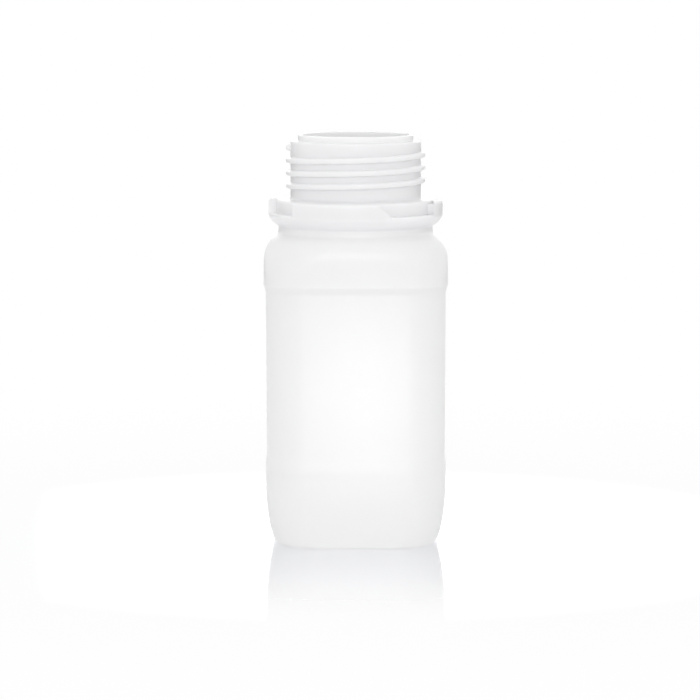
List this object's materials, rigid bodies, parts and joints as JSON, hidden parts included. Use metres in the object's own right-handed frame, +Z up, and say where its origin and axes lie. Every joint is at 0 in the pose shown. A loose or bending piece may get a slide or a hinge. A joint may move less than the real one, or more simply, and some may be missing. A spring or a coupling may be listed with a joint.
{
  "type": "square wide-mouth bottle",
  "caption": "Square translucent plastic laboratory bottle with rounded shoulders, a recessed label panel, a wide screw-threaded mouth and a ratchet collar for a tamper-evident cap.",
  "frame": {"origin": "on the surface that the bottle stands on, below the centre of the mouth", "axes": "+Z up along the axis of the mouth, the front flat towards -Y, the mould's parting line in the X-Z plane"},
  "size_m": [0.0576, 0.0576, 0.128],
  "materials": {
    "natural_polyethylene": "natural milky translucent, satin"
  },
  "bodies": {
    "root": {"bottle": "natural_polyethylene"}
  },
  "joints": []
}
